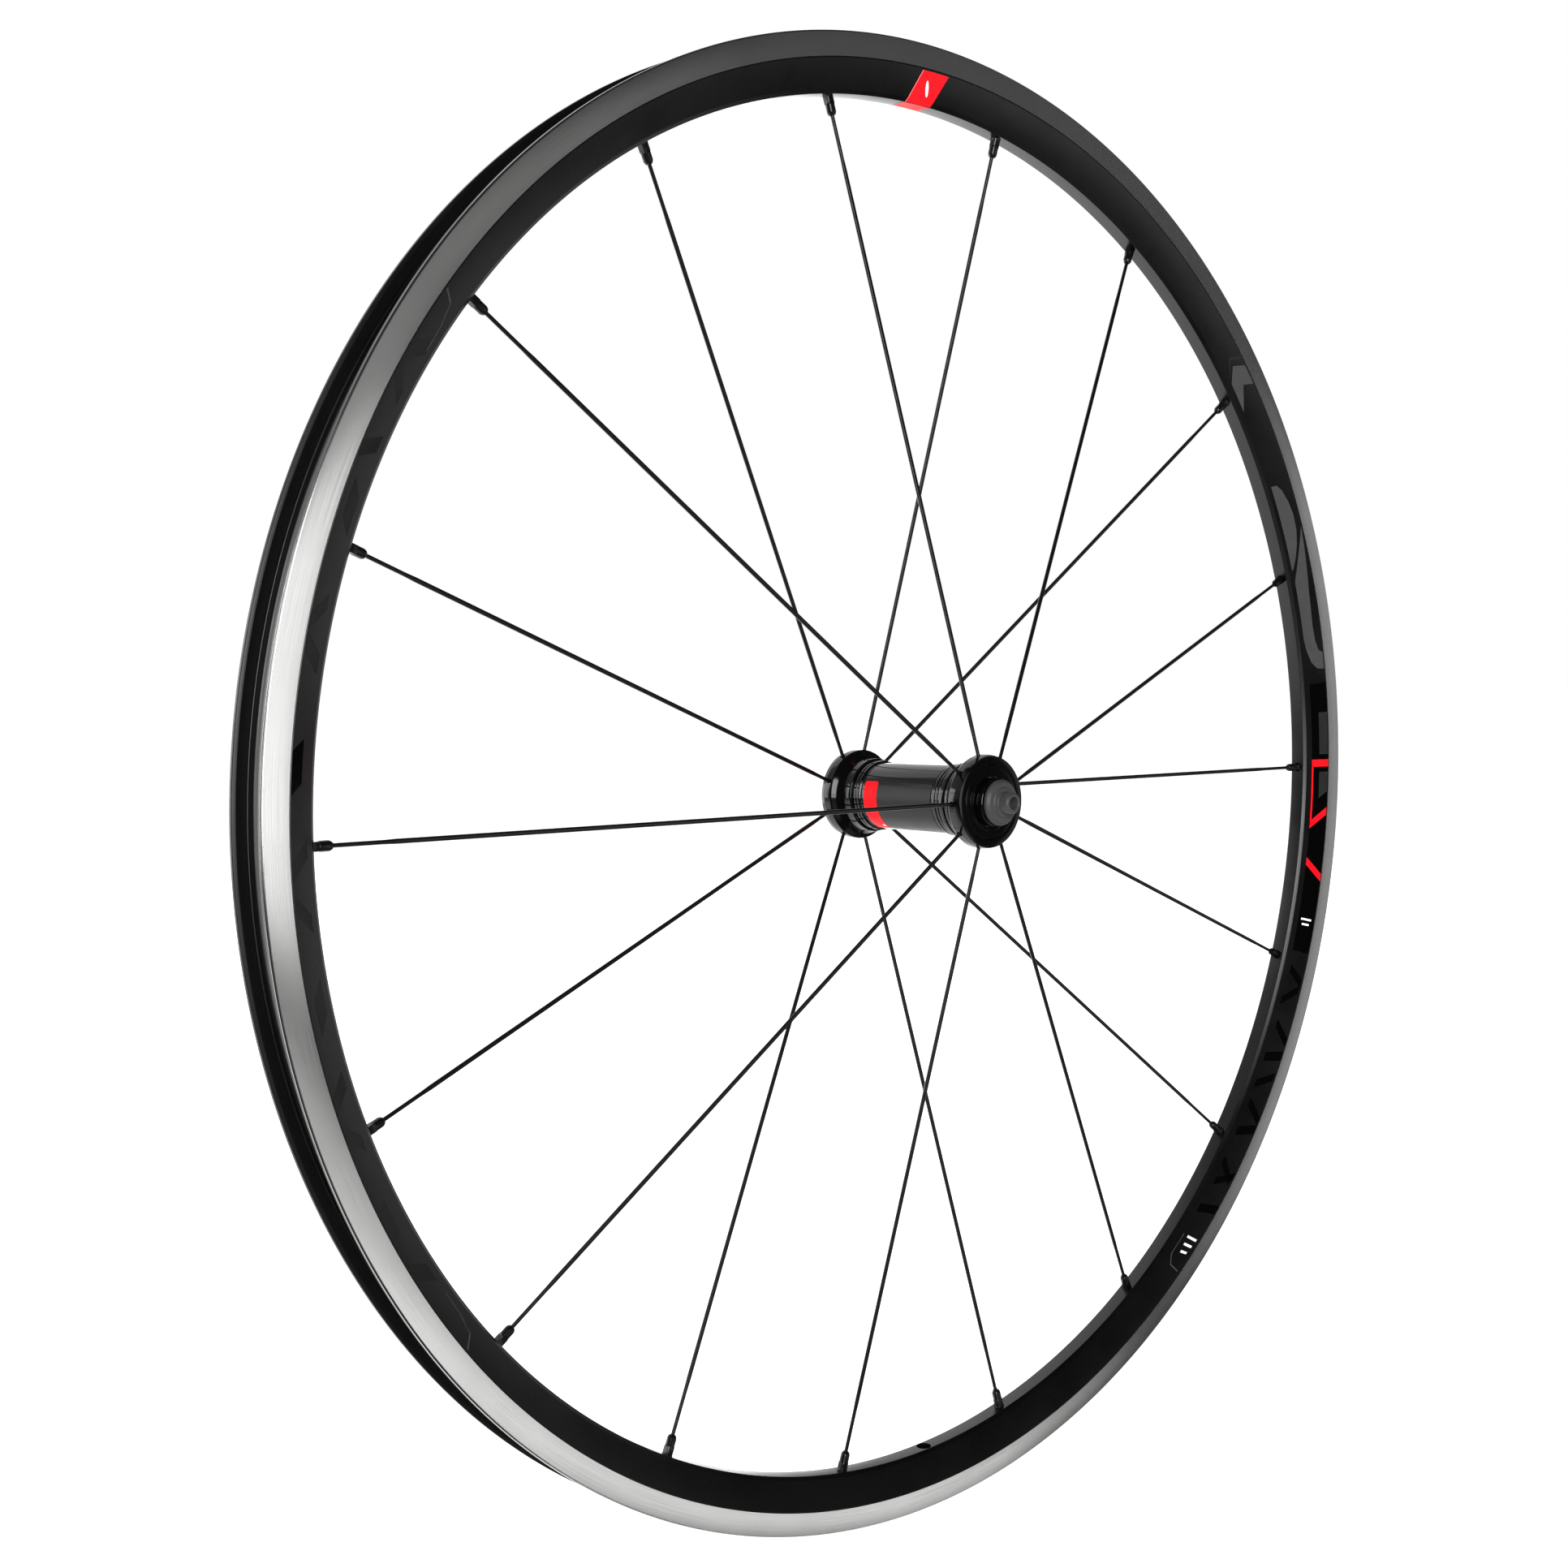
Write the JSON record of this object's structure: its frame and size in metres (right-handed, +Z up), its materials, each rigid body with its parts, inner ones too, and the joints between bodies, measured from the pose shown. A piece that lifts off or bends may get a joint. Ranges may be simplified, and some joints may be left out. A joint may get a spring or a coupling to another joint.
{
  "type": "bicycle front wheel",
  "caption": "Road bicycle front wheel for rim brakes: clincher rim with machined brake tracks, radial spokes and a black quick-release hub.",
  "frame": {"origin": "centre of the wheel, on the axle midway between the two fork faces", "axes": "+Y along the axle towards the left side, +X forwards in the wheel plane, +Z up; the valve hole is at the bottom"},
  "size_m": [0.6332, 0.1104, 0.634],
  "materials": {
    "rim_black": "satin black anodised with machined brake tracks",
    "rim_tape": "woven tape",
    "spoke_black": "black coated",
    "nipple_black": "black anodised",
    "hub_gloss_black": "gloss black",
    "cap_grey": "dark grey satin",
    "aluminium": "turned",
    "bearing_steel": "polished",
    "seal_rubber": "matt"
  },
  "bodies": {
    "axle_body": {"axle": "aluminium", "axle_spacer": "cap_grey", "preload_nut": "cap_grey", "right_end_cap": "cap_grey", "left_end_cap": "cap_grey", "right_inner_race": "bearing_steel", "left_inner_race": "bearing_steel"},
    "wheel": {"rim": "rim_black", "rim_tape": "rim_tape", "spoke_01": "spoke_black", "spoke_02": "spoke_black", "spoke_03": "spoke_black", "spoke_04": "spoke_black", "spoke_05": "spoke_black", "spoke_06": "spoke_black", "spoke_07": "spoke_black", "spoke_08": "spoke_black", "spoke_09": "spoke_black", "spoke_10": "spoke_black", "spoke_11": "spoke_black", "spoke_12": "spoke_black", "spoke_13": "spoke_black", "spoke_14": "spoke_black", "spoke_15": "spoke_black", "spoke_16": "spoke_black", "spoke_17": "spoke_black", "spoke_18": "spoke_black", "nipple_01": "nipple_black", "nipple_02": "nipple_black", "nipple_03": "nipple_black", "nipple_04": "nipple_black", "nipple_05": "nipple_black", "nipple_06": "nipple_black", "nipple_07": "nipple_black", "nipple_08": "nipple_black", "nipple_09": "nipple_black", "nipple_10": "nipple_black", "nipple_11": "nipple_black", "nipple_12": "nipple_black", "nipple_13": "nipple_black", "nipple_14": "nipple_black", "nipple_15": "nipple_black", "nipple_16": "nipple_black", "nipple_17": "nipple_black", "nipple_18": "nipple_black", "hub_shell": "hub_gloss_black", "right_flange_cover": "hub_gloss_black", "right_dust_cover": "hub_gloss_black", "right_outer_race": "bearing_steel", "right_outer_seal": "seal_rubber", "right_inner_seal": "seal_rubber", "left_flange_cover": "hub_gloss_black", "left_dust_cover": "hub_gloss_black", "left_outer_race": "bearing_steel", "left_outer_seal": "seal_rubber", "left_inner_seal": "seal_rubber"},
    "right_cage": {"right_ball_cage": "bearing_steel"},
    "left_cage": {"left_ball_cage": "bearing_steel"}
  },
  "joints": [
    {"name": "wheel_spin", "type": "hinge", "parent": "axle_body", "child": "wheel", "pos_m": [0, 0, 0], "axis": [0, 1, 0], "continuous": true},
    {"name": "right_cage_spin", "type": "hinge", "parent": "axle_body", "child": "right_cage", "pos_m": [0, -0.0375, 0], "axis": [0, 1, 0], "continuous": true},
    {"name": "left_cage_spin", "type": "hinge", "parent": "axle_body", "child": "left_cage", "pos_m": [0, 0.0375, 0], "axis": [0, 1, 0], "continuous": true}
  ],
  "couplings": [
    {"joint": "right_cage_spin", "follows": "wheel_spin", "ratio": 0.5889},
    {"joint": "left_cage_spin", "follows": "wheel_spin", "ratio": 0.5889}
  ]
}
